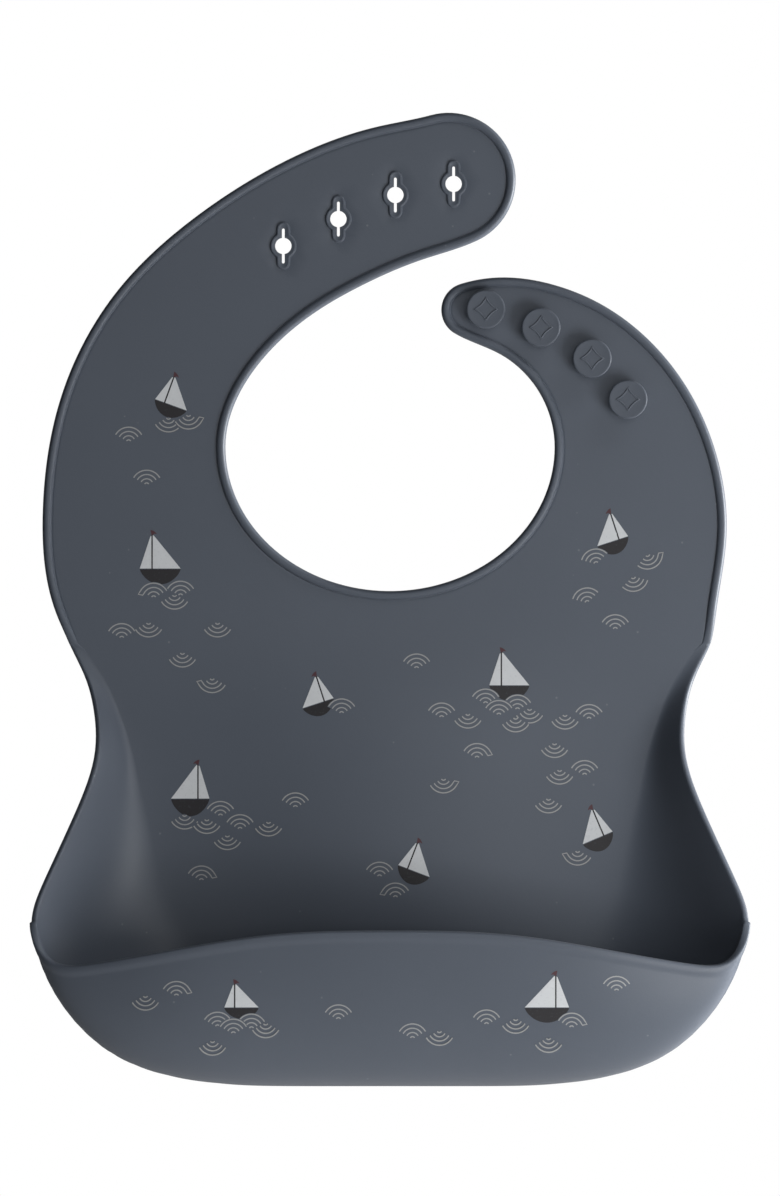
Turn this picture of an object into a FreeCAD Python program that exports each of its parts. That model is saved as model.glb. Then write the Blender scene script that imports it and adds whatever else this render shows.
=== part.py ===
"""Soft silicone bib with a catch pocket and a buttoned neck strap.

One moulding, drawn as the stiff stretches between its flex lines: a flat chest
panel, the catch pocket below it, and two neck straps that bend back round the
neck.  The frame has +X to the wearer's left, +Y into the wearer and +Z up.  The
back of the flat moulding lies in the plane y = 0, its front faces -Y, and the
origin is the centre of the neck opening.
"""
import FreeCAD, Part
import Sketcher
import math
import os

Vector = FreeCAD.Vector

DIMENSIONS = {
    # flat moulding
    "panel_thickness": 2.0,
    "bead_width": 3.0,
    "bead_rise": 1.2,
    "bead_end": -60.0,
    "neck_half_width": 52.0,
    "neck_depth": 45.5,
    "wall_top_half_width": 100.6,
    "wall_top_level": -64.0,
    "wall_top_start": 96.0,
    "panel_clearance": 0.1,
    # ends of the two straps
    "hole_strap_end_x": 18.5,
    "hole_strap_end_z": 84.4,
    "hole_strap_radius": 21.2,
    "button_strap_end_x": 24.8,
    "button_strap_end_z": 43.3,
    "button_strap_radius": 8.6,
    "strap_divider_x": 12.0,
    "strap_divider_z": 58.0,
    # flex lines of the straps, all through one apex, as angles in the panel
    "fold_apex_x": -20.5,
    "fold_apex_z": -5.8,
    "fold_gap": 1.2,
    "hole_fold_low": 213.0,
    "hole_fold_middle": 166.0,
    "hole_fold_high": 118.0,
    "hole_strap_limit": 45.0,
    "button_fold_low": -24.0,
    "button_fold_high": -2.0,
    "button_strap_limit": 70.0,
    # keyholes
    "keyhole_radius": 2.6,
    "keyhole_collar": 4.05,
    "collar_rise": 0.7,
    "slit_width": 0.9,
    "slit_length": 11.1,
    "slit_collar_width": 4.1,
    "slit_collar_length": 14.8,
    # buttons
    "stem_radius": 2.5,
    "stem_height": 3.2,
    "head_radius": 6.1,
    "head_thickness": 2.2,
    "head_edge": 0.7,
    "emblem_reach": 3.7,
    "emblem_waist": 2.2,
    "emblem_root": 0.2,
    "emblem_rise": 0.3,
    # pocket flex line, which runs along X under the pocket
    "flex_y": -21.0,
    "flex_z": -201.3,
    "front_lean": 9.0,
    "gusset_sweep": 26.0,
    "gusset_radius": 57.0,
    "gusset_inset": 0.6,
    "floor_half_width": 72.0,
    # cutting tools
    "cutter_radius": 220.0,
    "cutter_height": 20.0,
    "pocket_cutter_radius": 150.0,
    "pocket_cutter_length": 300.0,
    "gusset_clearance": 0.5,
}

HOLES = [(-33.7, 63.5), (-16.3, 72.0), (1.7, 79.6), (20.1, 83.1)]
BUTTONS = [(30.2, 43.3), (47.6, 37.6), (63.7, 27.8), (75.0, 14.9)]

# Edges of the flat moulding, as (x, z) points that a smooth curve runs through.
LEFT_OUTER_EDGE = [
    (-105.5, -52.5), (-109.7, -20), (-103.2, 18), (-86, 49.5), (-61, 73), (-33, 90.4), (-4, 101.2),
]
HOLE_STRAP_INNER_EDGE = [(10.5, 59.3), (-9, 51), (-31, 37)]
BUTTON_STRAP_INNER_EDGE = [(47.2, 17.2), (35, 29.2)]
RIGHT_OUTER_EDGE = [
    (29.9, 53.2), (39, 53.5), (52.6, 51), (66, 45.5), (90, 24.4), (102.4, 0), (106.3, -28),
    (103.2, -51),
]

# The catch pocket's outer skin, from its middle to the top of one side wall.  Each
# section is a cubic curve: it leaves the panel at the first point, heads for the
# second, and comes up to the lip, which is the last, from the third.
POCKET_SECTIONS = [
    [(0, 0, -176), (0, 0, -208), (0, -46, -217.5), (0, -50, -151.4)],
    [(26, 0, -175), (30, 0, -207.5), (34, -45.5, -218), (36, -49.5, -152.6)],
    [(46, 0, -170), (56, 0, -204), (68, -43.5, -217), (68, -47, -157.5)],
    [(60, 0, -160), (75.5, 0, -190), (94.5, -39, -209), (92, -42, -161.8)],
    [(68, 0, -148), (86, 0, -166), (107, -33, -188), (106, -38, -161)],
    [(72.5, 0, -135), (88, 0, -143), (108, -24, -163), (112, -33, -150)],
    [(75.5, 0, -121), (85.5, 0, -124), (97, -15, -134), (108, -27, -135)],
    [(78.5, 0, -108), (85.5, 0, -109.5), (91, -9.5, -115), (99.5, -20, -116)],
    [(81.5, 0, -95), (86, 0, -95.8), (88.5, -6, -98), (93.4, -13.5, -98)],
    [(85.5, 0, -83), (88.5, 0, -83.4), (90.5, -3, -84.5), (93.5, -7, -84.5)],
    [(90, 0, -73), (92.2, 0, -73.2), (94, -0.9, -73.8), (96.2, -2.2, -73.8)],
    [(96, 0, -64), (97.3, 0, -64), (99, -0.1, -64), (100.6, -0.3, -64)],
]
SECTION_STEPS = 8
INSET_STEPS = 12

# Limits of the plain boxes that cut one piece from the next, clear of the part itself.
CUT_SIDE = 150.0
CUT_FRONT = -80.0
CUT_BACK = 20.0
CUT_FOOT = -230.0
POCKET_CUT_TOP = -50.0
STRAP_CUT_FRONT = -12.0
STRAP_CUT_BACK = 2.0
STRAP_CUT_FOOT = -40.0
HOLE_STRAP_CUT_FOOT = 0.0

doc = FreeCAD.newDocument("silicone_bib")
sheet = doc.addObject("Spreadsheet::Sheet", "dimensions")


def fill_sheet():
    """Write every driving dimension into the sheet, one aliased cell each."""
    values = dict(DIMENSIONS)
    for kind, places in (("hole", HOLES), ("button", BUTTONS)):
        for index, (x, z) in enumerate(places, start=1):
            values[f"{kind}_{index}_x"] = x
            values[f"{kind}_{index}_z"] = z
    for row, (alias, value) in enumerate(values.items(), start=1):
        sheet.set(f"A{row}", alias)
        sheet.set(f"B{row}", str(value))
        sheet.setAlias(f"B{row}", alias)
    doc.recompute()


def size(alias):
    """A driving dimension, read back from the sheet."""
    return float(sheet.get(alias))


def bind(item, **expressions):
    """Tie properties of an object to cells of the sheet."""
    for name, expression in expressions.items():
        item.setExpression(name.replace("__", "."), expression)
    return item


def facing_front(turn=0.0):
    """A rotation that lays local XY in the panel, with local Z out of its front."""
    upright = FreeCAD.Rotation(Vector(1, 0, 0), 90)
    return upright.multiply(FreeCAD.Rotation(Vector(0, 0, 1), turn))


def combine(kind, name, base, tool):
    """A boolean of two objects."""
    item = doc.addObject("Part::" + kind, name)
    item.Base = base
    item.Tool = tool
    return item


def join(name, shapes):
    """One object from several that touch."""
    item = doc.addObject("Part::MultiFuse", name)
    item.Shapes = shapes
    item.Refine = False
    return item


def block(name, low, high):
    """A plain box between two corners."""
    item = doc.addObject("Part::Box", name)
    item.Length = high[0] - low[0]
    item.Width = high[1] - low[1]
    item.Height = high[2] - low[2]
    item.Placement.Base = Vector(*low)
    return item


# ---------------------------------------------------------------- flat moulding

def smooth_edge(points, start_direction=None, end_direction=None):
    """A curve through points of the sketch plane, with its end directions if given."""
    curve = Part.BSplineCurve()
    places = [Vector(x, z, 0) for x, z in points]
    if start_direction and end_direction:
        first = Vector(*start_direction, 0)
        last = Vector(*end_direction, 0)
        curve.interpolate(Points=places, InitialTangent=first, FinalTangent=last)
    else:
        curve.interpolate(Points=places)
    return curve


def strap_cap(prefix, start_angle, end_angle):
    """The round end of a strap, and its two end points."""
    x = size(prefix + "_end_x")
    z = size(prefix + "_end_z")
    radius = size(prefix + "_radius")
    circle = Part.Circle(Vector(x, z, 0), Vector(0, 0, 1), radius)
    arc = Part.ArcOfCircle(circle, math.radians(start_angle), math.radians(end_angle))
    ends = []
    for angle in (start_angle, end_angle):
        turn = math.radians(angle)
        ends.append((x + radius * math.cos(turn), z + radius * math.sin(turn)))
    return arc, ends[0], ends[1]


def heading(degrees):
    """A unit direction in the panel."""
    turn = math.radians(degrees)
    return (math.cos(turn), math.sin(turn))


def panel_edges():
    """Every edge of the flat moulding's outline, in order round it."""
    edge = size("wall_top_half_width")
    level = size("wall_top_level")
    clear = size("panel_clearance")
    half_width = size("neck_half_width")
    depth = size("neck_depth")
    hole_cap, hole_inner, hole_outer = strap_cap("hole_strap", -65, 105)
    button_cap, button_outer, button_inner = strap_cap("button_strap", 107, 240)
    base = [(p[0][0], p[0][2] + clear) for p in POCKET_SECTIONS]
    base[-1] = (base[-1][0], level)
    base_loop = [(-x, z) for x, z in reversed(base)] + base[1:]
    outer_left = smooth_edge([(-edge, level)] + LEFT_OUTER_EDGE + [hole_outer],
                             heading(111), heading(15))
    inner_hole = smooth_edge([hole_inner] + HOLE_STRAP_INNER_EDGE + [(-half_width, 0)],
                             heading(205), heading(270))
    neck = Part.Ellipse(Vector(0, 0, 0), half_width, depth)
    neck_arc = Part.ArcOfEllipse(neck, math.pi, 2 * math.pi)
    inner_button = smooth_edge([(half_width, 0)] + BUTTON_STRAP_INNER_EDGE + [button_inner],
                               heading(90), heading(150))
    outer_right = smooth_edge([button_outer] + RIGHT_OUTER_EDGE + [(edge, level)],
                              heading(17), heading(-111))
    start = size("wall_top_start")
    return [
        outer_left,
        hole_cap,
        inner_hole,
        neck_arc,
        inner_button,
        button_cap,
        outer_right,
        Part.LineSegment(Vector(edge, level, 0), Vector(start, level, 0)),
        smooth_edge(list(reversed(base_loop))),
        Part.LineSegment(Vector(-start, level, 0), Vector(-edge, level, 0)),
    ]


def inset_points(edges, distance):
    """Points at a fixed distance inside a run of edges that meet end to end."""
    points = []
    place = None
    for edge in edges:
        start = edge.FirstParameter
        end = edge.LastParameter
        if place and (edge.value(start) - place).Length > (edge.value(end) - place).Length:
            start, end = end, start
        way = math.copysign(1, end - start)
        for count in range(INSET_STEPS):
            parameter = start + (end - start) * count / INSET_STEPS
            travel = edge.tangent(parameter)[0] * way
            points.append(edge.value(parameter) + Vector(travel.y, -travel.x, 0) * distance)
        place = edge.value(end)
    return points


def flat_outline(name, edges):
    """A sketch of a closed outline in the panel."""
    sketch = doc.addObject("Sketcher::SketchObject", name)
    sketch.Placement.Rotation = facing_front()
    for edge in edges:
        sketch.addGeometry(edge, False)
    return sketch


def forward_extrusion(name, sketch, length):
    """A solid from an outline, out towards the front."""
    solid = doc.addObject("Part::Extrusion", name)
    solid.Base = sketch
    solid.DirMode = "Custom"
    solid.Dir = Vector(0, -1, 0)
    solid.Solid = True
    return bind(solid, LengthFwd=length)


def flat_moulding():
    """The whole flat part: a web with a raised bead round it, down to the pocket walls."""
    edges = panel_edges()
    outline = flat_outline("panel_outline", edges)
    slab = forward_extrusion("slab", outline, "dimensions.panel_thickness + dimensions.bead_rise")
    inset = inset_points(edges[:-3], size("bead_width"))
    curve = Part.BSplineCurve()
    curve.interpolate(Points=inset)
    foot = CUT_FOOT
    corners = [inset[-1], Vector(inset[-1].x, foot, 0), Vector(inset[0].x, foot, 0), inset[0]]
    sides = [Part.LineSegment(start, end) for start, end in zip(corners, corners[1:])]
    web = flat_outline("web_outline", [curve] + sides)
    recess = forward_extrusion("web_recess", web, "dimensions.bead_rise * 2")
    bind(recess, Placement__Base__y="-dimensions.panel_thickness")
    front = -size("panel_thickness")
    lower = block("lower_recess", (-CUT_SIDE, STRAP_CUT_FRONT, CUT_FOOT),
                  (CUT_SIDE, front, size("bead_end")))
    framed = combine("Cut", "framed_slab", slab, recess)
    return combine("Cut", "flat_moulding", framed, lower)


def sector(name, low, high, full_turn=0):
    """A wedge of the panel between two flex lines, short of each by half the gap."""
    start = f"dimensions.{low}"
    end = f"dimensions.{high} + {full_turn}"
    half = f"(({end} - {start}) / 2 * 1 deg)"
    middle = f"(({end} + {start}) / 2 * 1 deg)"
    shift = f"dimensions.fold_gap / 2 / sin{half}"
    wedge = doc.addObject("Part::Cylinder", name)
    wedge.Placement = FreeCAD.Placement(Vector(0, 10, 0), facing_front(size(low)))
    return bind(
        wedge,
        Radius="dimensions.cutter_radius",
        Height="dimensions.cutter_height",
        Angle=f"{end} - {start}",
        Placement__Base__x=f"dimensions.fold_apex_x + {shift} * cos{middle}",
        Placement__Base__z=f"dimensions.fold_apex_z + {shift} * sin{middle}",
    )


def keyhole(index):
    """One keyhole: its raised collar, and the hole with a slit above and below."""
    place = {
        "Placement__Base__x": f"dimensions.hole_{index}_x",
        "Placement__Base__z": f"dimensions.hole_{index}_z",
    }

    def round_piece(name, radius, reach_back, length, lift=0.0):
        item = doc.addObject("Part::Cylinder", f"{name}_{index}")
        item.Placement.Rotation = facing_front()
        item.Placement.Base = Vector(0, reach_back, 0)
        bind(item, Radius=radius, Height=length, **place)
        if lift:
            item.setExpression("Placement.Base.z", f"dimensions.hole_{index}_z + {lift}")
        return item

    def slot_piece(name, width, length, reach_back, depth):
        item = doc.addObject("Part::Box", f"{name}_{index}")
        bind(
            item,
            Length=width,
            Width=depth,
            Height=length,
            Placement__Base__x=f"dimensions.hole_{index}_x - {width} / 2",
            Placement__Base__y=f"{reach_back} - {depth}",
            Placement__Base__z=f"dimensions.hole_{index}_z - ({length}) / 2",
        )
        return item

    rise = "dimensions.panel_thickness + dimensions.collar_rise"
    straight = "dimensions.slit_collar_length - dimensions.slit_collar_width"
    lift = "(dimensions.slit_collar_length - dimensions.slit_collar_width) / 2"
    end_radius = "dimensions.slit_collar_width / 2"
    collar = join(f"collar_{index}", [
        round_piece("collar_ring", "dimensions.keyhole_collar", 0, rise),
        slot_piece("collar_bar", "dimensions.slit_collar_width", straight, "0", f"({rise})"),
        round_piece("collar_top", end_radius, 0, rise, lift),
        round_piece("collar_foot", end_radius, 0, rise, "-" + lift),
    ])
    hole = join(f"keyhole_{index}", [
        round_piece("hole", "dimensions.keyhole_radius", 1, f"{rise} + 2"),
        slot_piece("slit", "dimensions.slit_width", "dimensions.slit_length", "1", f"({rise} + 2)"),
    ])
    return collar, hole


def strap_pieces(moulding):
    """The panel and the strap stretches, cut from the flat moulding at the flex lines."""
    divider_x = size("strap_divider_x")
    divider_z = size("strap_divider_z")
    far_corner = (CUT_SIDE, STRAP_CUT_BACK, divider_z)
    below_divider = block("below_divider",
                          (divider_x, STRAP_CUT_FRONT, HOLE_STRAP_CUT_FOOT), far_corner)
    strap_side = block("button_strap_side",
                       (divider_x, STRAP_CUT_FRONT, STRAP_CUT_FOOT), far_corner)

    def stretch(name, low, high, full_turn=0):
        return combine("Common", name, moulding, sector(name + "_sector", low, high, full_turn))

    chest = stretch("chest_panel", "hole_fold_low", "button_fold_low", 360)
    hole_shoulder = stretch("hole_strap_shoulder", "hole_fold_middle", "hole_fold_low")
    hole_middle = stretch("hole_strap_middle", "hole_fold_high", "hole_fold_middle")
    hole_wedge = stretch("hole_strap_wedge", "hole_strap_limit", "hole_fold_high")
    button_shoulder = stretch("button_strap_shoulder", "button_fold_low", "button_fold_high")
    button_wedge = stretch("button_strap_wedge", "button_fold_high", "button_strap_limit")
    plain_end = combine("Cut", "plain_hole_strap_end", hole_wedge, below_divider)
    keyholes = [keyhole(index) for index in range(1, len(HOLES) + 1)]
    collared_end = join("collared_end", [plain_end] + [collar for collar, hole in keyholes])
    hole_end = combine("Cut", "hole_strap_end", collared_end,
                       join("keyholes", [hole for collar, hole in keyholes]))
    button_end = combine("Common", "button_strap_end", button_wedge, strap_side)
    return [chest, hole_shoulder, hole_middle, hole_end, button_shoulder, button_end]


# ---------------------------------------------------------------------- buttons

def origin_plane(body, role):
    """One of a body's own origin planes."""
    for feature in body.Origin.OriginFeatures:
        if feature.Role == role:
            return feature
    raise RuntimeError(f"{body.Name} has no {role}")


def attached_sketch(body, name, support):
    """A sketch on a plane or face of a body."""
    sketch = body.newObject("Sketcher::SketchObject", name)
    sketch.AttachmentSupport = support
    sketch.MapMode = "FlatFace"
    return sketch


def neck_button(index):
    """A mushroom button: a stem, a rounded head and a four-pointed emblem on it."""
    body = doc.addObject("PartDesign::Body", f"neck_button_{index}")
    profile = attached_sketch(body, f"button_profile_{index}", origin_plane(body, "XZ_Plane"))
    stem = size("stem_radius")
    head = size("head_radius")
    neck = size("stem_height")
    top = neck + size("head_thickness")
    corners = [(0, 0), (stem, 0), (stem, neck), (head, neck), (head, top), (0, top)]
    for start, end in zip(corners, corners[1:] + corners[:1]):
        profile.addGeometry(Part.LineSegment(Vector(*start, 0), Vector(*end, 0)), False)
    for line in range(6):
        profile.addConstraint(Sketcher.Constraint("Coincident", line, 2, (line + 1) % 6, 1))
    for line in (0, 2, 4):
        profile.addConstraint(Sketcher.Constraint("Horizontal", line))
    for line in (1, 3, 5):
        profile.addConstraint(Sketcher.Constraint("Vertical", line))
    profile.addConstraint(Sketcher.Constraint("Coincident", 0, 1, -1, 1))
    for name, kind, line in (("stem", "DistanceX", 0), ("height", "DistanceY", 1),
                             ("head", "DistanceX", 4), ("thickness", "DistanceY", 3)):
        ends = (line, 1, line, 2) if name != "head" else (line, 2, line, 1)
        lengths = {"stem": stem, "height": neck, "head": head, "thickness": top - neck}
        constraint = profile.addConstraint(Sketcher.Constraint(kind, *ends, lengths[name]))
        profile.renameConstraint(constraint, name)
    bind(
        profile,
        Constraints__stem="dimensions.stem_radius",
        Constraints__height="dimensions.stem_height",
        Constraints__head="dimensions.head_radius",
        Constraints__thickness="dimensions.head_thickness",
    )
    turned = body.newObject("PartDesign::Revolution", f"button_turned_{index}")
    turned.Profile = profile
    turned.ReferenceAxis = (profile, ["V_Axis"])
    turned.Angle = 360
    doc.recompute()
    rounded = body.newObject("PartDesign::Fillet", f"button_rounded_{index}")
    rims = [f"Edge{number}" for number, edge in enumerate(turned.Shape.Edges, start=1)
            if is_head_rim(edge, head)]
    rounded.Base = (turned, rims)
    bind(rounded, Radius="dimensions.head_edge")
    emblem = attached_sketch(body, f"emblem_outline_{index}", origin_plane(body, "XY_Plane"))
    reach = size("emblem_reach")
    points = [Vector(reach, 0, 0), Vector(0, reach, 0), Vector(-reach, 0, 0), Vector(0, -reach, 0)]
    for start, end in zip(points, points[1:] + points[:1]):
        hollow = (start + end).normalize() * size("emblem_waist")
        emblem.addGeometry(Part.Arc(start, hollow, end), False)
    bind(emblem, AttachmentOffset__Base__z="dimensions.stem_height + dimensions.head_thickness"
         " - dimensions.emblem_root")
    raised = body.newObject("PartDesign::Pad", f"emblem_{index}")
    raised.Profile = emblem
    bind(raised, Length="dimensions.emblem_rise + dimensions.emblem_root")
    body.Placement.Rotation = facing_front()
    bind(
        body,
        Placement__Base__x=f"dimensions.button_{index}_x",
        Placement__Base__y="-dimensions.panel_thickness",
        Placement__Base__z=f"dimensions.button_{index}_z",
    )
    return body


def is_head_rim(edge, head):
    """Whether an edge is one of the two circles round the button's head."""
    curve = edge.Curve
    return isinstance(curve, Part.Circle) and abs(curve.Radius - head) < 0.01


# ----------------------------------------------------------------------- pocket

def cubic(points, step):
    """A place on a cubic curve with four control points."""
    rest = 1 - step
    weights = (rest ** 3, 3 * rest * rest * step, 3 * rest * step * step, step ** 3)
    place = Vector()
    for weight, point in zip(weights, points):
        place += Vector(*point) * weight
    return place


def pocket_sections():
    """All the sections, from the right wall's top round to the left one."""
    mirrored = [[(-x, y, z) for x, y, z in section] for section in POCKET_SECTIONS[1:]]
    return list(reversed(POCKET_SECTIONS)) + mirrored


def section_wire(sections, index):
    """One section of the pocket wall, closed round its thickness."""
    before = sections[max(index - 1, 0)]
    after = sections[min(index + 1, len(sections) - 1)]
    here = sections[index]
    thickness = size("panel_thickness")
    outside = []
    inside = []
    for count in range(SECTION_STEPS + 1):
        step = count / SECTION_STEPS
        low = max(step - 0.01, 0)
        high = min(step + 0.01, 1)
        along = cubic(here, high) - cubic(here, low)
        across = cubic(before, step) - cubic(after, step)
        normal = along.cross(across)
        if index in (0, len(sections) - 1):
            normal.z = 0
        normal.normalize()
        place = cubic(here, step)
        outside.append(place)
        inside.append(place + normal * thickness)
    outer = Part.BSplineCurve()
    outer.interpolate(Points=outside)
    inner = Part.BSplineCurve()
    inner.interpolate(Points=list(reversed(inside)))
    edges = [outer.toShape(), Part.makeLine(outside[-1], inside[-1]), inner.toShape(),
             Part.makeLine(inside[0], outside[0])]
    return Part.Wire(edges)


def pocket_pieces():
    """The pocket's walls: one skin, cut at the flex line under it and at the corners."""
    sections = pocket_sections()
    wires = []
    for index in range(len(sections)):
        wire = doc.addObject("Part::Feature", f"pocket_section_{index + 1}")
        wire.Shape = section_wire(sections, index)
        wires.append(wire)
    skin = doc.addObject("Part::Loft", "pocket_skin")
    skin.Sections = wires
    skin.Solid = True
    skin.Ruled = False

    def flex_sector(name, start, sweep, radius):
        wedge = doc.addObject("Part::Cylinder", name)
        across = FreeCAD.Rotation(Vector(0, 1, 0), 90)
        wedge.Placement.Base.x = -size("pocket_cutter_length") / 2
        wedge.Placement.Rotation = across.multiply(FreeCAD.Rotation(Vector(0, 0, 1), start))
        return bind(
            wedge,
            Height="dimensions.pocket_cutter_length",
            Radius=radius,
            Angle=sweep,
            Placement__Base__y="dimensions.flex_y",
            Placement__Base__z="dimensions.flex_z",
        )

    lean = size("front_lean")
    inset = size("gusset_inset")
    # Seen along +X, local X points down and local Y points to +Y: up is 180.
    front_sector = flex_sector("front_sector", 180 + lean, "180 - dimensions.front_lean",
                               "dimensions.pocket_cutter_radius")
    gusset_sector = flex_sector("gusset_sector", 180 + lean - size("gusset_sweep") + inset,
                                "dimensions.gusset_sweep - 2 * dimensions.gusset_inset",
                                "dimensions.gusset_radius - dimensions.gusset_clearance")
    freed_sector = flex_sector("freed_sector", 180 + lean - size("gusset_sweep"),
                               "dimensions.gusset_sweep", "dimensions.gusset_radius")
    front = combine("Common", "pocket_front", skin, front_sector)
    rear = combine("Cut", "pocket_rear", combine("Cut", "pocket_behind_front", skin, front_sector),
                   freed_sector)
    gussets = combine("Common", "pocket_gussets", skin, gusset_sector)
    inner_edge = size("floor_half_width")
    left_side = block("left_side", (-CUT_SIDE, CUT_FRONT, CUT_FOOT),
                      (-inner_edge, CUT_BACK, POCKET_CUT_TOP))
    right_side = block("right_side", (inner_edge, CUT_FRONT, CUT_FOOT),
                       (CUT_SIDE, CUT_BACK, POCKET_CUT_TOP))
    floor_span = block("floor_span", (-inner_edge, CUT_FRONT, CUT_FOOT),
                       (inner_edge, CUT_BACK, POCKET_CUT_TOP))
    return [
        front,
        combine("Common", "pocket_left_gusset", gussets, left_side),
        combine("Common", "pocket_right_gusset", gussets, right_side),
        combine("Common", "pocket_floor", rear, floor_span),
        combine("Common", "pocket_left_wall", rear, left_side),
        combine("Common", "pocket_right_wall", rear, right_side),
    ]


def check_and_write(nodes):
    """Stop on any failed feature, then write each node to its own file."""
    doc.recompute()
    for item in doc.Objects:
        if "Invalid" in item.State or "Error" in item.State:
            raise RuntimeError(f"{item.Label} failed: {item.State}")
    os.makedirs("parts", exist_ok=True)
    for node in nodes:
        shape = node.Shape
        if shape.isNull() or not shape.isValid() or not shape.Solids:
            raise RuntimeError(f"{node.Label} has no sound solid")
        shape.exportStep(f"parts/{node.Label}.step")
        box = shape.BoundBox
        print(f"{node.Label:22s} solids {len(shape.Solids)} volume {shape.Volume / 1000:8.3f} cm3",
              f"x {box.XMin:.1f}..{box.XMax:.1f} y {box.YMin:.1f}..{box.YMax:.1f}",
              f"z {box.ZMin:.1f}..{box.ZMax:.1f}")


fill_sheet()
nodes = strap_pieces(flat_moulding())
nodes += [neck_button(index) for index in range(1, len(BUTTONS) + 1)]
nodes += pocket_pieces()
check_and_write(nodes)
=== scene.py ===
"""Silicone bib with a catching pocket: its finished look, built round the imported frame."""

import functools
import math

import bmesh
import bpy
import numpy as np
from mathutils import Matrix, Vector
from mathutils.bvhtree import BVHTree
from mathutils.geometry import delaunay_2d_cdt


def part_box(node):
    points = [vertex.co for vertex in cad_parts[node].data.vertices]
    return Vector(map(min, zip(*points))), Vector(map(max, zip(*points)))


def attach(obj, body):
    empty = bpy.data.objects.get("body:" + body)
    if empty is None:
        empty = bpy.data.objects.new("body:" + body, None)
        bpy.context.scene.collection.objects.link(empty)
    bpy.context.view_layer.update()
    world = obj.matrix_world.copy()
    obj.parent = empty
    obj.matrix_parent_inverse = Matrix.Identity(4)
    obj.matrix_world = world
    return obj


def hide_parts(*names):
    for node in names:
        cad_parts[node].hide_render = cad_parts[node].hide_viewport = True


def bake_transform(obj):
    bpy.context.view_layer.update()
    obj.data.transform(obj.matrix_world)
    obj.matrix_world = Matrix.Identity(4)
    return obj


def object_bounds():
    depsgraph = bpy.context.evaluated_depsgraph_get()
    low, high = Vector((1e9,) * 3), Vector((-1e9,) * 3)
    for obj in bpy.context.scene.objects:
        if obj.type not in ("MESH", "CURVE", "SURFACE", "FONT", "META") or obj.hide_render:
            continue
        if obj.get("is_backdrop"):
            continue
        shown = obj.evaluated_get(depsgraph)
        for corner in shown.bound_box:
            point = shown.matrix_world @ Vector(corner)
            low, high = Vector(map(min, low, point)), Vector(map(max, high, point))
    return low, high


bl_info = {
    "name": "Silicone bib",
    "version": (1, 0, 0),
    "blender": (4, 5, 0),
    "location": "3D View > Sidebar > Bib",
    "description": "Builds a silicone bib: panel and pocket, neck straps, buttons and print",
    "category": "Add Mesh",
}

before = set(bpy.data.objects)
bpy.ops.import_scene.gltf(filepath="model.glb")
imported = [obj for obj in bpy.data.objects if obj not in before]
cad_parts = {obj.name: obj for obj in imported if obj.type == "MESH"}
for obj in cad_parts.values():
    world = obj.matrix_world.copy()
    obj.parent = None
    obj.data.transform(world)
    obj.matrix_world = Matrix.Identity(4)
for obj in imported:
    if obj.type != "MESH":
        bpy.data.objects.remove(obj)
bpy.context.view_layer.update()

MM = 0.001

# The outline of the flat moulding, in millimetres in the panel: x to the right, z up.
WALL_TOP = (100.6, -64.0)
HOLE_CAP = (18.5, 84.4, 21.2)
BUTTON_CAP = (24.8, 43.3, 8.6)
NECK_HALF_WIDTH = 52.0
NECK_DEPTH = 45.5
LEFT_OUTER_EDGE = [(-105.5, -52.5), (-109.7, -20), (-103.2, 18), (-86, 49.5),
                   (-61, 73), (-33, 90.4), (-4, 101.2)]
HOLE_STRAP_INNER_EDGE = [(10.5, 59.3), (-9, 51), (-31, 37)]
BUTTON_STRAP_INNER_EDGE = [(47.2, 17.2), (35, 29.2)]
RIGHT_OUTER_EDGE = [(29.9, 53.2), (39, 53.5), (52.6, 51), (66, 45.5), (90, 24.4),
                    (102.4, 0), (106.3, -28), (103.2, -51)]
KEYHOLES = [(-33.7, 63.5), (-16.3, 72.0), (1.7, 79.6), (20.1, 83.1)]

# The pocket's outer skin: four control points a section, from the middle to a wall's top.
POCKET_SECTIONS = [
    [(0, 0, -176), (0, 0, -208), (0, -46, -217.5), (0, -50, -151.4)],
    [(26, 0, -175), (30, 0, -207.5), (34, -45.5, -218), (36, -49.5, -152.6)],
    [(46, 0, -170), (56, 0, -204), (68, -43.5, -217), (68, -47, -157.5)],
    [(60, 0, -160), (75.5, 0, -190), (94.5, -39, -209), (92, -42, -161.8)],
    [(68, 0, -148), (86, 0, -166), (107, -33, -188), (106, -38, -161)],
    [(72.5, 0, -135), (88, 0, -143), (108, -24, -163), (112, -33, -150)],
    [(75.5, 0, -121), (85.5, 0, -124), (97, -15, -134), (108, -27, -135)],
    [(78.5, 0, -108), (85.5, 0, -109.5), (91, -9.5, -115), (99.5, -20, -116)],
    [(81.5, 0, -95), (86, 0, -95.8), (88.5, -6, -98), (93.4, -13.5, -98)],
    [(85.5, 0, -83), (88.5, 0, -83.4), (90.5, -3, -84.5), (93.5, -7, -84.5)],
    [(90, 0, -73), (92.2, 0, -73.2), (94, -0.9, -73.8), (96.2, -2.2, -73.8)],
    [(96, 0, -64), (97.3, 0, -64), (99, -0.1, -64), (100.6, -0.3, -64)],
]

# Where the straps bend: rays from one point in the neck opening.
FOLD_APEX = (-20.5, -5.8)
STRAP_DIVIDER = (12.0, 58.0)
LEFT_CUTS = [(213.0, 3.5), (189.5, 0.0), (142.0, 0.0)]
RIGHT_CUTS = [(-24.0, 3.0), (-13.0, 0.0)]
LEFT_STRETCHES = ["bib", "hole_strap_root", "hole_strap_turn", "hole_strap_tip"]
RIGHT_STRETCHES = ["bib", "button_strap_root", "button_strap_tip"]
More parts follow.
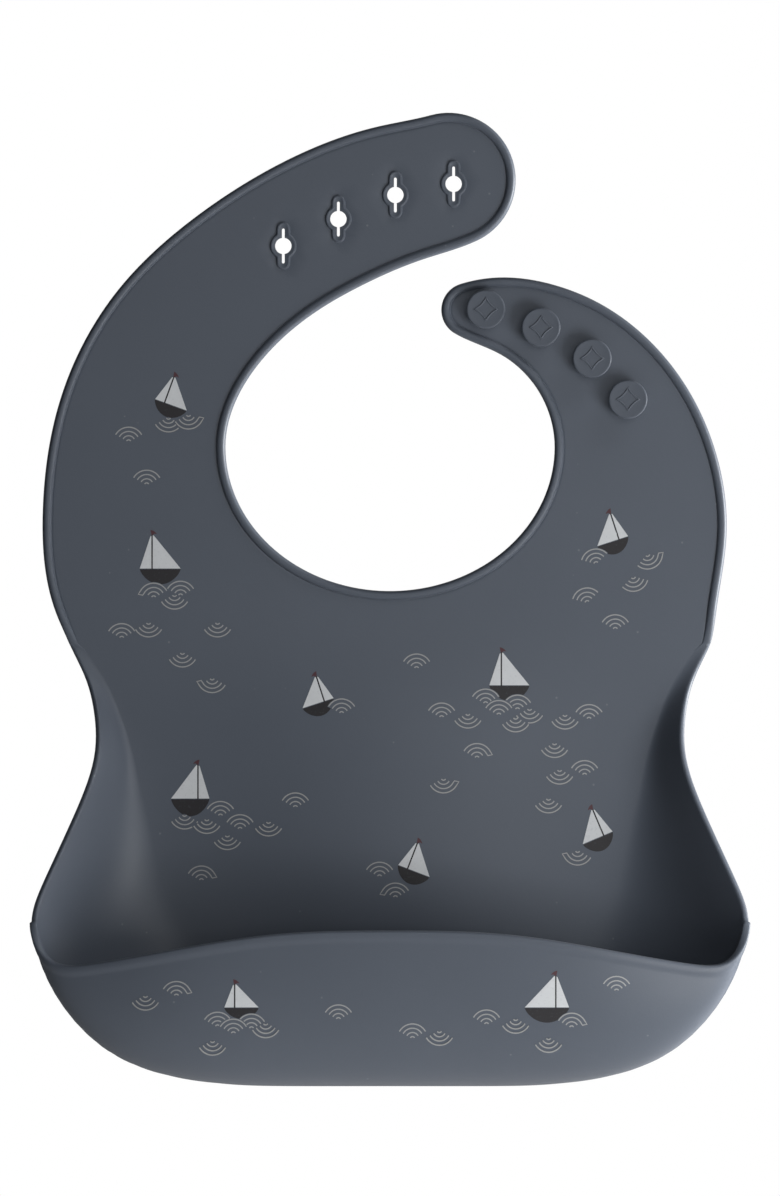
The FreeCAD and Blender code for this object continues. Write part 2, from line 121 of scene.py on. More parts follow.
# Stretch: the bodies it bends between, the fold's angle, and how far the bend reaches
# before and after the fold.
STRAP_BENDS = {
    "hole_strap_root": ("bib", "hole_shoulder", 213.0, -2.0, 12.0),
    "hole_strap_turn": ("hole_shoulder", "hole_middle", 166.0, -10.0, 10.0),
    "hole_strap_tip": ("hole_middle", "hole_end", 118.0, -10.0, 12.0),
    "button_strap_root": ("bib", "button_shoulder", -24.0, -2.0, 13.0),
    "button_strap_tip": ("button_shoulder", "button_end", -2.0, -12.0, 16.0),
}
POCKET_BEND = (-12.0, -45.0)
STOOD_FOR = {
    "bib": ["chest_panel", "pocket_floor", "pocket_front", "pocket_left_wall",
            "pocket_right_wall", "pocket_left_gusset", "pocket_right_gusset"],
    "hole_strap_root": ["hole_strap_shoulder"],
    "hole_strap_turn": ["hole_strap_middle"],
    "hole_strap_tip": ["hole_strap_end"],
    "button_strap_root": ["button_strap_shoulder"],
    "button_strap_tip": ["button_strap_end"],
}
PIECE_NAMES = {
    "bib": "bib_panel_and_pocket",
    "hole_strap_root": "hole_strap_root",
    "hole_strap_turn": "hole_strap_turn",
    "hole_strap_tip": "hole_strap_tip",
    "button_strap_root": "button_strap_root",
    "button_strap_tip": "button_strap_tip",
}

# The print. A boat: foot of the mast, width, sail height, hull depth, lean, side of the
# large sail. A wave: middle, crest (U) or trough (D) with a closed tip at L or R, turn.
BOATS = [
    (-71.3, 13.9, 10.6, 8.9, 3.9, -20, 1),
    (-75.2, -38.6, 12.9, 10.9, 4.8, 0, 1),
    (72.4, -29.3, 10.2, 8.8, 4.0, 18, -1),
    (-20.7, -80.5, 10.3, 8.5, 3.9, 18, -1),
    (35.2, -75.5, 12.6, 10.7, 4.7, 0, 1),
    (-60.7, -111.3, 12.1, 11.0, 5.4, 0, -1),
    (5.5, -133.4, 10.6, 9.0, 4.1, -21, 1),
    (67.6, -122.9, 10.2, 9.2, 4.1, 23, -1),
    (-49.1, -177.3, 10.8, 7.6, 3.4, 0, 1),
    (52.4, -177.3, 14.0, 10.3, 4.6, 0, -1),
]
WAVES = [
    (-82.6, 4.1, "U", 0), (-70.0, 7.0, "D", 0), (-63.7, 7.9, "DR", 0),
    (-76.9, -9.5, "U", 0), (-74.7, -45.2, "UL", 0), (-66.2, -44.6, "U", 0),
    (-68.1, -49.0, "D", 0), (-84.8, -58.0, "U", 0), (-76.3, -57.8, "D", 0),
    (-54.5, -57.8, "D", 0), (-65.6, -67.3, "D", 0), (-56.2, -75.4, "DL", 0),
    (-15.3, -81.8, "U", 0), (8.4, -67.6, "U", 0), (16.3, -83.1, "U", 0),
    (30.2, -78.7, "U", 0), (40.3, -80.6, "U", 0), (34.4, -82.3, "U", 0),
    (24.6, -86.6, "D", 0), (44.1, -85.0, "D", 0), (39.7, -87.8, "D", 0),
    (55.3, -86.9, "D", 0), (62.9, -83.6, "U", 0), (27.5, -95.9, "UR", 0),
    (52.0, -95.9, "D", 0), (61.5, -101.3, "U", 0), (53.6, -104.3, "D", 0),
    (16.9, -107.1, "DR", 0), (50.1, -113.4, "D", 0), (-53.6, -114.2, "U", 0),
    (-64.9, -118.5, "D", 0), (-57.9, -119.9, "D", 0), (-47.4, -118.4, "U", 0),
    (-51.4, -125.0, "D", 0), (-38.4, -120.7, "D", 0), (-29.9, -111.5, "U", 0),
    (-59.6, -134.6, "UR", 0), (-3.3, -133.4, "U", 0), (1.7, -140.0, "UL", 0),
    (59.3, -129.9, "DL", 0), (64.5, -34.5, "U", 15), (82.2, -36.2, "DR", 20),
    (77.5, -43.3, "D", 15), (61.7, -46.8, "U", 15), (71.2, -55.2, "U", 0),
    (-77.3, -175.7, "D", 0), (-67.5, -171.1, "UR", 0), (-54.5, -180.8, "U", 0),
    (-43.8, -181.4, "U", 0), (-49.5, -183.0, "U", 0), (-39.3, -184.4, "D", 0),
    (-56.1, -189.9, "D", 0), (-16.3, -178.5, "U", 0), (7.1, -184.5, "U", 0),
    (15.6, -186.8, "D", 0), (30.5, -180.1, "U", 0), (39.7, -183.0, "D", 0),
    (57.4, -181.1, "UR", 0), (50.1, -189.0, "D", 0), (71.6, -169.5, "U", 0),
]
WAVE_RADII = (4.75, 3.4, 2.05, 0.75)
WAVE_HALF_ANGLE = 60.0
WAVE_CENTRE_DROP = 2.56


# ------------------------------------------------------------------------- settings

class BibSizes(bpy.types.PropertyGroup):
    """The sizes of the moulding, the buttons and the print"""

    wall: bpy.props.FloatProperty(
        name="Wall", description="Thickness of the silicone", default=0.002,
        min=0.0005, subtype="DISTANCE", unit="LENGTH")
    bead_width: bpy.props.FloatProperty(
        name="Bead width", description="Width of the raised edge", default=0.0029,
        subtype="DISTANCE", unit="LENGTH")
    bead_rise: bpy.props.FloatProperty(
        name="Bead rise", description="How far the edge stands above the panel",
        default=0.0012, subtype="DISTANCE", unit="LENGTH")
    collar_rise: bpy.props.FloatProperty(
        name="Collar rise", description="Height of the rim round a keyhole",
        default=0.0007, subtype="DISTANCE", unit="LENGTH")
    web_spacing: bpy.props.FloatProperty(
        name="Mesh spacing", description="Distance between points in the flat panel",
        default=0.004, min=0.002, subtype="DISTANCE", unit="LENGTH")
    chest_swell: bpy.props.FloatProperty(
        name="Chest swell", description="How far the chest bows forward between the walls",
        default=0.004, min=0.0, subtype="DISTANCE", unit="LENGTH")
    ink_rise: bpy.props.FloatProperty(
        name="Ink rise", description="How far the print stands on the silicone",
        default=0.00005, subtype="DISTANCE", unit="LENGTH")
    line_width: bpy.props.FloatProperty(
        name="Wave line", description="Width of a wave's printed line",
        default=0.00038, subtype="DISTANCE", unit="LENGTH")


class BibColours(bpy.types.PropertyGroup):
    """The colours of the silicone and the inks"""

    silicone: bpy.props.FloatVectorProperty(
        name="Silicone", description="Slate blue of the moulding", size=3,
        default=(0.085, 0.1, 0.127), subtype="COLOR", min=0, max=1)
    sail: bpy.props.FloatVectorProperty(
        name="Sail", description="Ink of the sails", size=3,
        default=(0.62, 0.64, 0.66), subtype="COLOR", min=0, max=1)
    hull: bpy.props.FloatVectorProperty(
        name="Hull", description="Ink of the hulls", size=3,
        default=(0.012, 0.011, 0.014), subtype="COLOR", min=0, max=1)
    wave: bpy.props.FloatVectorProperty(
        name="Wave", description="Ink of the wave lines", size=3,
        default=(0.33, 0.335, 0.335), subtype="COLOR", min=0, max=1)
    pennant: bpy.props.FloatVectorProperty(
        name="Pennant", description="Ink of the pennants", size=3,
        default=(0.07, 0.022, 0.03), subtype="COLOR", min=0, max=1)


class BibStage(bpy.types.PropertyGroup):
    """The floor, lights and camera"""

    distance: bpy.props.FloatProperty(
        name="Camera distance", description="From the panel to the camera",
        default=2.5, subtype="DISTANCE", unit="LENGTH")
    view_height: bpy.props.FloatProperty(
        name="View height", description="Height of the view at the panel",
        default=0.378, subtype="DISTANCE", unit="LENGTH")
    view_level: bpy.props.FloatProperty(
        name="View level", description="Height of the view's middle",
        default=-0.0477, subtype="DISTANCE", unit="LENGTH")
    floor_drop: bpy.props.FloatProperty(
        name="Floor drop", description="How far the floor is below the hanging bib",
        default=0.36, subtype="DISTANCE", unit="LENGTH")
    key_power: bpy.props.FloatProperty(
        name="Key light", description="Power of the softbox on the right",
        default=28.0, unit="POWER")
    near_power: bpy.props.FloatProperty(
        name="Near light", description="Power of the small softbox low on the right",
        default=2.4, unit="POWER")
    top_power: bpy.props.FloatProperty(
        name="Top light", description="Power of the softbox above on the right",
        default=3.0, unit="POWER")
    fill_power: bpy.props.FloatProperty(
        name="Fill light", description="Power of the softbox in front",
        default=2.5, unit="POWER")
    world_strength: bpy.props.FloatProperty(
        name="Room light", description="Strength of the light from all round",
        default=0.02)


# ------------------------------------------------------------------------ node work

class Value:
    """A socket that takes part in sums: each operator adds its Math node."""

    def __init__(self, nodes, socket):
        self.nodes = nodes
        self.socket = socket

    def _math(self, operation, first, second):
        node = self.nodes.tree.nodes.new("ShaderNodeMath")
        node.operation = operation
        for place, item in enumerate((first, second)):
            if isinstance(item, Value):
                self.nodes.tree.links.new(item.socket, node.inputs[place])
            else:
                node.inputs[place].default_value = item
        return Value(self.nodes, node.outputs[0])

    def __add__(self, other):
        return self._math("ADD", self, other)

    __radd__ = __add__

    def __mul__(self, other):
        return self._math("MULTIPLY", self, other)

    __rmul__ = __mul__

    def __sub__(self, other):
        return self._math("SUBTRACT", self, other)

    def __rsub__(self, other):
        return self._math("SUBTRACT", other, self)


class Finish:
    """A material under construction."""

    def __init__(self, name):
        self.material = bpy.data.materials.new(name)
        self.material.use_nodes = True
        self.tree = self.material.node_tree
        self.shader = self.tree.nodes["Principled BSDF"]
        place = self.node("ShaderNodeTexCoord")
        self.place = place.outputs["Object"]

    def node(self, kind, settings=None, inputs=None):
        """Adds a node with its settings made first, then its sockets' values or links."""
        made = self.tree.nodes.new(kind)
        for key, value in (settings or {}).items():
            if key == "stops":
                ramp = made.color_ramp.elements
                while len(ramp) < len(value):
                    ramp.new(1.0)
                for element, (position, colour) in zip(ramp, value):
                    element.position = position
                    element.color = colour
            else:
                setattr(made, key, value)
        for key, value in (inputs or {}).items():
            socket = made.inputs[key]
            if isinstance(value, Value):
                self.tree.links.new(value.socket, socket)
            elif isinstance(value, bpy.types.NodeSocket):
                self.tree.links.new(value, socket)
            else:
                socket.default_value = value
        return made

    def noise(self, scale, detail=2.0, roughness=0.5):
        """Noise from 0 to 1, in features a metre."""
        made = self.node("ShaderNodeTexNoise", None, {
            "Vector": self.place, "Scale": scale, "Detail": detail,
            "Roughness": roughness})
        return Value(self, made.outputs["Fac"])

    def spots(self, scale):
        """Distance to the nearest of many scattered points."""
        made = self.node("ShaderNodeTexVoronoi", None, {"Vector": self.place,
                                                        "Scale": scale})
        return Value(self, made.outputs["Distance"])

    def band(self, value, low, high):
        """0 below low, 1 above high, smooth between."""
        made = self.node("ShaderNodeMapRange", {"interpolation_type": "SMOOTHSTEP"}, {
            "Value": value, "From Min": low, "From Max": high})
        return Value(self, made.outputs["Result"])

    def mix(self, share, first, second):
        """A colour between two others."""
        made = self.node("ShaderNodeMix", {"data_type": "RGBA"})
        for place, item in ((0, share), (6, first), (7, second)):
            socket = made.inputs[place]
            if isinstance(item, Value):
                self.tree.links.new(item.socket, socket)
            elif isinstance(item, bpy.types.NodeSocket):
                self.tree.links.new(item, socket)
            elif place == 0:
                socket.default_value = item
            else:
                socket.default_value = (*item, 1.0)
        return made.outputs[2]

    def bump(self, height, distance, strength=1.0):
        """Makes the surface follow a height."""
        made = self.node("ShaderNodeBump", None, {
            "Height": height, "Distance": distance, "Strength": strength})
        self.tree.links.new(made.outputs["Normal"], self.shader.inputs["Normal"])

    def colour(self, socket):
        self.tree.links.new(socket, self.shader.inputs["Base Color"])

    def roughness(self, value):
        self.tree.links.new(value.socket, self.shader.inputs["Roughness"])


def shade(colour, factor):
    """The same colour, lighter or darker."""
    return tuple(min(1.0, part * factor) for part in colour)


def silicone_finish(name, colour):
    """Matt moulded silicone: faint clouding, specks of dust and a fine satin grain."""
    made = Finish(name)
    clouds = made.noise(28.0, 3.0)
    grain = made.noise(2600.0, 2.0, 0.6)
    pores = made.noise(900.0, 3.0, 0.65)
    specks = 1.0 - made.band(made.spots(160.0), 0.035, 0.075)
    keep = made.band(made.noise(90.0, 1.0), 0.52, 0.6)
    tone = made.mix(clouds, shade(colour, 0.95), shade(colour, 1.05))
    tone = made.mix(grain * 0.35, tone, shade(colour, 1.18))
    made.colour(made.mix(specks * keep * 0.25, tone, (0.3, 0.32, 0.34)))
    made.roughness(0.38 + 0.06 * clouds + 0.08 * pores)
    made.bump(grain * 0.45 + pores * 0.55, 0.00006, 0.6)
    made.shader.inputs["IOR"].default_value = 1.42
    made.shader.inputs["Sheen Weight"].default_value = 0.06
    made.shader.inputs["Sheen Roughness"].default_value = 0.5
    return made.material


def ink_finish(name, colour, wear=0.12):
    """Printed ink: slightly patchy cover with the silicone's grain under it."""
    made = Finish(name)
    patch = made.noise(420.0, 3.0, 0.6)
    grain = made.noise(2600.0, 2.0, 0.6)
    thin = made.band(made.noise(1500.0, 2.0), 0.58, 0.72)
    tone = made.mix(patch, shade(colour, 0.93), shade(colour, 1.05))
    made.colour(made.mix(thin * wear, tone, (0.1, 0.115, 0.14)))
    made.roughness(0.5 + 0.1 * patch)
    made.bump(grain * 0.6 + patch * 0.4, 0.00004, 0.6)
    return made.material


# --------------------------------------------------------------- shapes in the plane

def heading(degrees):
    """A unit direction in the panel."""
    turn = math.radians(degrees)
    return (math.cos(turn), math.sin(turn))


def smooth_through(points, spacing, start=None, end=None):
    """Even points on a smooth curve through given ones, of any dimension."""
    knots = np.array(points, float)
    steps = np.linalg.norm(np.diff(knots, axis=0), axis=1)
    count = len(knots)
    system = np.zeros((count, count))
    known = np.zeros_like(knots)
    system[0, 0] = system[-1, -1] = 1
    known[0] = start if start is not None else (knots[1] - knots[0]) / steps[0]
    known[-1] = end if end is not None else (knots[-1] - knots[-2]) / steps[-1]
    for i in range(1, count - 1):
        before, after = steps[i - 1], steps[i]
        system[i, i - 1:i + 2] = after, 2 * (before + after), before
        known[i] = 3 * (after * (knots[i] - knots[i - 1]) / before
                        + before * (knots[i + 1] - knots[i]) / after)
    slopes = np.linalg.solve(system, known)
    made = []
    for i in range(count - 1):
        pieces = max(1, round(steps[i] / spacing))
        for k in range(pieces):
            u = k / pieces
            a = 2 * u ** 3 - 3 * u ** 2 + 1
            b = u ** 3 - 2 * u ** 2 + u
            c = -2 * u ** 3 + 3 * u ** 2
            d = u ** 3 - u ** 2
            made.append(a * knots[i] + b * steps[i] * slopes[i]
                        + c * knots[i + 1] + d * steps[i] * slopes[i + 1])
    made.append(knots[-1])
    return made


def round_end(cap, start, end, spacing):
    """Points round a strap's end, clockwise."""
    x, z, radius = cap
    count = max(4, round(radius * math.radians(start - end) / spacing))
    angles = np.radians(np.linspace(start, end, count + 1))
    return [np.array((x + radius * math.cos(a), z + radius * math.sin(a))) for a in angles]


def flat_outline():
    """The open edge of the moulding from the left wall's top round to the right one's."""
    edge, level = WALL_TOP
    hole = round_end(HOLE_CAP, 105, -65, 1.6)
    button = round_end(BUTTON_CAP, 240, 107, 1.0)
    parts = [
        smooth_through([(-edge, level)] + LEFT_OUTER_EDGE + [tuple(hole[0])], 2.2,
                       heading(111), heading(15)),
        hole,
        smooth_through([tuple(hole[-1])] + HOLE_STRAP_INNER_EDGE
                       + [(-NECK_HALF_WIDTH, 0)], 2.0, heading(205), heading(270)),
        [np.array((NECK_HALF_WIDTH * math.cos(a), NECK_DEPTH * math.sin(a)))
         for a in np.linspace(math.pi, 2 * math.pi, 76)],
        smooth_through([(NECK_HALF_WIDTH, 0)] + BUTTON_STRAP_INNER_EDGE
                       + [tuple(button[0])], 1.8, heading(90), heading(150)),
        button,
        smooth_through([tuple(button[-1])] + RIGHT_OUTER_EDGE + [(edge, level)], 2.2,
                       heading(17), heading(-111)),
    ]
    line = list(parts[0])
    for part in parts[1:]:
        line += list(part[1:])
    return np.array(line)


SWELL_TOP, SWELL_RISE = -50, 45           # where the chest's bow starts, and how soon
SWELL_FOOT, SWELL_FALL = -125, 51         # where it starts to fade, and how soon


def chest_swell(x, z):
    """How far the chest stands forward of flat, as a share of its fullest place."""
    edge = POCKET_SECTIONS[::-1]
    half = float(np.interp(z, sorted(s[0][2] for s in edge),
                           [s[0][0] for s in sorted(edge, key=lambda s: s[0][2])]))
    if z > SWELL_TOP or abs(x) >= half:
        return 0.0
    across = math.cos(math.pi * x / (2 * half)) ** 2
    rising = smoothstep((SWELL_TOP - z) / SWELL_RISE)
    return across * rising * (1 - smoothstep((SWELL_FOOT - z) / SWELL_FALL))


def smoothstep(value):
    value = min(1.0, max(0.0, value))
    return value * value * (3 - 2 * value)


# --------------------------------------------------------------------- the moulding

INSET = 5.0
SKIN_POINTS = 30
EDGE_ROUND = 0.7
BACK_ROUND = 0.6
RIM_CORNER = [(2.0, -0.8), (1.93, -0.45), (1.75, -0.18), (1.45, -0.03)]
# The front lip is rolled a little: it starts at a small step on each side wall.
ROLL_STEP_LEVEL = -148.8
ROLL_RISE = 0.6
ROLL_SWELL = 0.45
ROLL_REACHES = (3.0, 2.2, 1.2)
ROLL_SHARES = (0.0, 0.7, 1.0)


def front_profile(wall, width, rise):
    """Inset and level of each front point from the web out to the edge, with the bead."""
    top = wall + rise
    side = 0.42 * width
    points = [(d, -wall) for d in np.linspace(INSET, width + 0.55, 10)]
    points += [(width + 0.3, -wall + 0.04), (width + 0.12, -wall + 0.1)]
    for a in np.linspace(0, 90, 8):
        points.append((width - side + side * math.cos(math.radians(a)),
                       -(wall - 0.1) - (rise + 0.1) * math.sin(math.radians(a))))
    points.append((0.5 * width, -top - 0.02))
    for a in np.linspace(90, 0, 9):
        points.append((side - side * math.cos(math.radians(a)),
                       -1.2 - (top - 1.2) * math.sin(math.radians(a))))
    return points


def plain_level(inset, wall):
    """The front level of an edge without a bead."""
    if inset >= EDGE_ROUND:
        return -wall
    return -(wall - EDGE_ROUND
             + math.sqrt(EDGE_ROUND ** 2 - (EDGE_ROUND - inset) ** 2))


def back_profile():
    """Inset and level of each back point from the edge in to the web."""
    points = []
    for a in np.linspace(0, 90, 5):
        points.append((BACK_ROUND * (1 - math.cos(math.radians(a))),
                       -BACK_ROUND * (1 - math.sin(math.radians(a)))))
    for d in np.linspace(BACK_ROUND, INSET, SKIN_POINTS - 4)[1:]:
        points.append((d, 0.0))
    return points


END_TURN = 16.0                           # run over which the edge turns at its ends
END_INSET = 4.6                           # how deep its cross-section is there
END_RUN = 60.0                            # run within which the bead may fade
BEAD_FOOT, BEAD_FADE = -66.0, 15.0        # level where the bead is gone, and its fade


def flat_stations(wall, width, rise):
    """Cross-sections of the flat moulding's edge, each from the front web to the back."""
    line = flat_outline()
    run = np.concatenate([[0], np.cumsum(np.linalg.norm(np.diff(line, axis=0), axis=1))])
    front = front_profile(wall, width, rise)
    back = back_profile()
    made = []
    for i in range(1, len(line) - 1):
        along = line[i + 1] - line[i - 1]
        along /= np.linalg.norm(along)
        outward = np.array((-along[1], along[0]))
        left = min(run[i], run[-1] - run[i])
        turned = smoothstep(left / END_TURN)
        side = np.array((math.copysign(1.0, line[i][0]), 0.0))
        outward = outward * turned + side * (1 - turned)
        outward /= np.linalg.norm(outward)
        reach = (END_INSET + (INSET - END_INSET) * turned) / INSET
        near_end = left < END_RUN
        bead = smoothstep((line[i][1] - BEAD_FOOT) / BEAD_FADE) if near_end else 1.0
        station = []
        for d, level in front:
            x, z = line[i] - outward * d * reach
            station.append((x, level * bead + plain_level(d, wall) * (1 - bead), z))
        station.append((line[i][0], -0.9, line[i][1]))
        for d, level in back:
            x, z = line[i] - outward * d * reach
            station.append((x, level, z))
        made.append(station)
    return made


def with_roll_steps(grids):
    """The pocket's sections with two more, close together, at each end of the roll."""
    made = [grids[0]]
    for before, after in zip(grids, grids[1:]):
        first, last = before[3][2], after[3][2]
        marks = [(ROLL_STEP_LEVEL + offset - first) / (last - first)
                 for offset in (0.15, -0.4) if first != last]
        made += [before + (after - before) * share
                 for share in sorted(m for m in marks if 0.02 < m < 0.98)]
        made.append(after)
    return np.array(made)


def pocket_stations(wall):
    """Cross-sections of the pocket's wall, each from the inner crease over the lip and
    down the outer skin, from the right wall's top round to the left one's."""
    mirrored = [[(-x, y, z) for x, y, z in section] for section in POCKET_SECTIONS[1:]]
    sections = list(reversed(POCKET_SECTIONS)) + mirrored
    rows = smooth_through([np.array(s, float).ravel() for s in sections], 4.5)
    grids = with_roll_steps([row.reshape(4, 3) for row in rows])
    skins, slopes = [], []
    steps = []
    for grid in grids:
        speed = 3 * np.linalg.norm(grid[3] - grid[2])
        even = np.linspace(0, 1 - 3.8 / speed, SKIN_POINTS - 7)
        steps.append(np.concatenate([even, [1 - d / speed for d in ROLL_REACHES], [1]]))
    for grid, row in zip(grids, steps):
        t = row[:, None]
        r = 1 - t
        skins.append(r ** 3 * grid[0] + 3 * r * r * t * grid[1]
                     + 3 * r * t * t * grid[2] + t ** 3 * grid[3])
        slopes.append(3 * r * r * (grid[1] - grid[0]) + 6 * r * t * (grid[2] - grid[1])
                      + 3 * t * t * (grid[3] - grid[2]))
    skins = np.array(skins)
    across = np.gradient(skins, axis=0)
    normals = np.cross(across, np.array(slopes))
    normals /= np.linalg.norm(normals, axis=2)[:, :, None]
    made = []
    for skin, slope, normal in zip(skins, slopes, normals):
        if normal[1][1] > 0:
            normal = -normal
        normal = normal.copy()
        normal[0] = (0, -1, 0)
        out = slope[-1] / np.linalg.norm(slope[-1])
        rolled = smoothstep((ROLL_STEP_LEVEL + 0.1 - skin[-1][2]) / 0.5)
        lip, inward = skin[-1] + ROLL_RISE * rolled * out, normal[-1]
        station = [tuple(p + wall * n) for p, n in zip(skin[:-1], normal[:-1])]
        skin = skin.copy()
        for place, share in zip((-4, -3, -2), ROLL_SHARES):
            skin[place] -= ROLL_SWELL * rolled * share * normal[place]
        swell = 1 + ROLL_SWELL * rolled / wall
        station += [tuple(lip + a * wall / 2 * inward + b * out) for a, b in RIM_CORNER]
        station.append(tuple(lip + wall / 2 * inward))
        station += [tuple(lip + (1 - (a - 1) * (2 * swell - 1)) * wall / 2 * inward
                          + b * out) for a, b in reversed(RIM_CORNER)]
        station += [tuple(p) for p in skin[-2::-1]]
        made.append(station)
    return made


def keyhole_reach(angle, radius, half_width, half_length):
    """How far a keyhole's outline is from its middle, at an angle from upright."""
    across, along = abs(math.sin(angle)), abs(math.cos(angle))
    end = half_length - half_width
    side = half_width / across if across > 1e-9 else 1e9
    if side * along > end:
        side = end * along + math.sqrt(max(0.0, half_width ** 2 - (end * across) ** 2))
    return max(radius, side)


def keyhole_angles():
    """Angles round a keyhole, closer together where its slit and collar turn."""
    quarter = [0, 1.3, 2.6, 3.9, 5.04, 6.2, 7.8, 9.97, 12.5, 16, 20.97, 25.5, 30.4, 37,
               45, 54, 63, 72, 81]
    half = quarter + [90] + [180 - a for a in reversed(quarter[1:])]
    return [math.radians(a) for a in half + [180 + a for a in half]]


def inside(points, loop):
    """Which points lie inside a closed loop."""
    x, z = points[:, 0], points[:, 1]
    found = np.zeros(len(points), bool)
    for (ax, az), (bx, bz) in zip(loop, np.roll(loop, -1, axis=0)):
        if az == bz:
            continue
        spans = (az > z) != (bz > z)
        found ^= spans & (x < (bx - ax) * (z - az) / (bz - az) + ax)
    return found


def fill_flat(verts, faces, outer, holes, level, spacing):
    """Fills the flat between loops of vertices with even triangles."""
    coords, edges, names = [], [], []
    loops = []
    for loop in [outer] + holes:
        first = len(coords)
        flat = np.array([(verts[v][0], verts[v][2]) for v in loop])
        loops.append(flat)
        coords += [Vector(p) for p in flat]
        names += loop
        edges += [(first + k, first + (k + 1) % len(loop)) for k in range(len(loop))]
    low, high = loops[0].min(0), loops[0].max(0)
    rows = np.arange(low[1], high[1], spacing * 0.866)
    grid = np.array([(x + spacing * 0.5 * (k % 2), z) for k, z in enumerate(rows)
                     for x in np.arange(low[0], high[0], spacing)])
    keep = inside(grid, loops[0])
    for loop in loops[1:]:
        keep &= ~inside(grid, loop)
    grid = grid[keep]
    border = np.concatenate(loops)
    gaps = np.array([np.min(np.hypot(*(border - p).T)) for p in grid])
    grid = grid[gaps > spacing * 0.6]
    coords += [Vector(p) for p in grid]
    places, _, triangles, origins, _, _ = delaunay_2d_cdt(coords, edges, [], 0, 1e-6)
    index = []
    for place, origin in zip(places, origins):
        if origin and origin[0] < len(names):
            index.append(names[origin[0]])
        else:
            index.append(len(verts))
            verts.append((place[0], level, place[1]))
    centres = np.array([np.mean([places[v] for v in t], axis=0) for t in triangles])
    keep = inside(centres, loops[0])
    for loop in loops[1:]:
        keep &= ~inside(centres, loop)
    faces += [tuple(index[v] for v in t) for t, wanted in zip(triangles, keep) if wanted]


def cut_line(angle, behind, left_side):
    """A point on a cut, its direction, and the side the strap's tip is on."""
    along = heading(angle)
    tip = (along[1], -along[0]) if left_side else (-along[1], along[0])
    return ((FOLD_APEX[0] - tip[0] * behind, FOLD_APEX[1] - tip[1] * behind), along, tip)


def on_right(x, z):
    """Whether a place belongs to the button strap's half."""
    return x > STRAP_DIVIDER[0] and z < STRAP_DIVIDER[1]


def stretch_at(x, z):
    """The stretch of the moulding at a place."""
    right = on_right(x, z)
    cuts = RIGHT_CUTS if right else LEFT_CUTS
    names = RIGHT_STRETCHES if right else LEFT_STRETCHES
    passed = 0
    for angle, behind in cuts:
        point, _, tip = cut_line(angle, behind, not right)
        if (x - point[0]) * tip[0] + (z - point[1]) * tip[1] > 0:
            passed += 1
        else:
            break
    return names[passed]


def cut_stretches(mesh, unit):
    """Cuts a mesh along the flex lines and returns its faces by stretch."""
    for left_side, cuts in ((True, LEFT_CUTS), (False, RIGHT_CUTS)):
        for angle, behind in cuts:
            point, along, tip = cut_line(angle, behind, left_side)
            near = []
            for face in mesh.faces:
                c = face.calc_center_median() / unit
                away = (c.x - point[0]) * tip[0] + (c.z - point[1]) * tip[1]
                out = (c.x - point[0]) * along[0] + (c.z - point[1]) * along[1]
                if abs(away) < 14 and out > 10 and on_right(c.x, c.z) != left_side:
                    near.append(face)
            if not near:
                continue
            edges = {edge for face in near for edge in face.edges}
            corners = {corner for face in near for corner in face.verts}
            bmesh.ops.bisect_plane(
                mesh, geom=near + list(edges) + list(corners), dist=1e-7 * unit / MM,
                plane_co=(point[0] * unit, 0, point[1] * unit),
                plane_no=(tip[0], 0, tip[1]))
    groups = {}
    for face in mesh.faces:
        c = face.calc_center_median() / unit
        groups.setdefault(stretch_at(c.x, c.z), []).append(face)
    return groups


@functools.lru_cache(maxsize=2)
def whole_moulding(wall, width, rise, collar, spacing, swell):
    """Vertices and faces of the whole moulding, in millimetres."""
    stations = pocket_stations(wall) + flat_stations(wall, width, rise)
    count, path = len(stations), len(stations[0])
    verts = [p for station in stations for p in station]
    faces = []
    for s in range(count):
        following = (s + 1) % count
        for p in range(path - 1):
            faces.append((s * path + p, s * path + p + 1,
                          following * path + p + 1, following * path + p))
    angles = keyhole_angles()
    top = -wall - collar
    rings = [  # growth of the collar (True) or of the hole (False), and the level
        (True, 0.3, -wall), (True, 0.12, -wall + 0.05), (True, 0.04, -wall - 0.1),
        (True, 0.0, top + 0.2), (True, -0.12, top + 0.04), (True, -0.3, top - 0.03),
        (True, -0.62, top - 0.03), (True, -0.85, top + 0.14), (False, 0.32, top + 0.14),
        (False, 0.1, top + 0.19), (False, 0.0, top + 0.36), (False, 0.0, -0.35),
        (False, 0.12, -0.1), (False, 0.35, 0.0)]
    collars, bores = [], []
    for x, z in KEYHOLES:
        loops = []
        for is_collar, grow, level in rings:
            size = (4.05, 2.05, 7.4) if is_collar else (2.6, 0.45, 5.55)
            loop = []
            for a in angles:
                reach = keyhole_reach(a, *(part + grow for part in size))
                loop.append(len(verts))
                verts.append((x + reach * math.sin(a), level, z + reach * math.cos(a)))
            loops.append(loop)
        for one, other in zip(loops, loops[1:]):
            for k in range(len(angles)):
                following = (k + 1) % len(angles)
                faces.append((one[k], one[following], other[following], other[k]))
        collars.append(loops[0])
        bores.append(loops[-1])
    fill_flat(verts, faces, [s * path for s in range(count)], collars, -wall, spacing)
    fill_flat(verts, faces, [s * path + path - 1 for s in range(count)], bores, 0.0,
              spacing * 1.2)
    verts = [(x, y - swell * chest_swell(x, z) if y > -wall - 0.1 else y, z)
             for x, y, z in verts]
    return verts, faces


